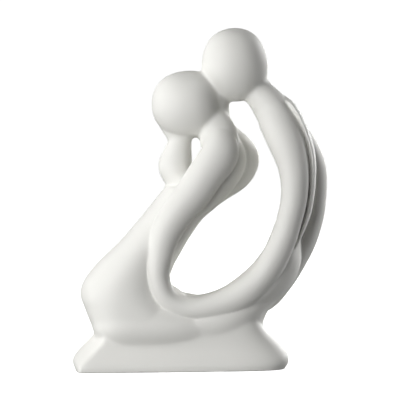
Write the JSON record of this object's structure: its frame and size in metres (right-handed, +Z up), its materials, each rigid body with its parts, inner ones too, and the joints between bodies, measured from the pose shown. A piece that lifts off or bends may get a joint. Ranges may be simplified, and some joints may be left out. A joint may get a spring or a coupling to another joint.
{
  "type": "figurine",
  "caption": "Matte white abstract figurine of a courting couple, faceless and kneeling, with arms that join in an open loop, cast in one piece on a flared plinth.",
  "frame": {"origin": "middle of the plinth's flat underside", "axes": "+Z up, +X across the couple from her to him, -Y the viewed side"},
  "size_m": [0.1901, 0.0826, 0.2498],
  "materials": {
    "white_body": "matte white cast plaster, hand-rubbed"
  },
  "bodies": {
    "root": {"couple_figurine": "white_body"}
  },
  "joints": []
}
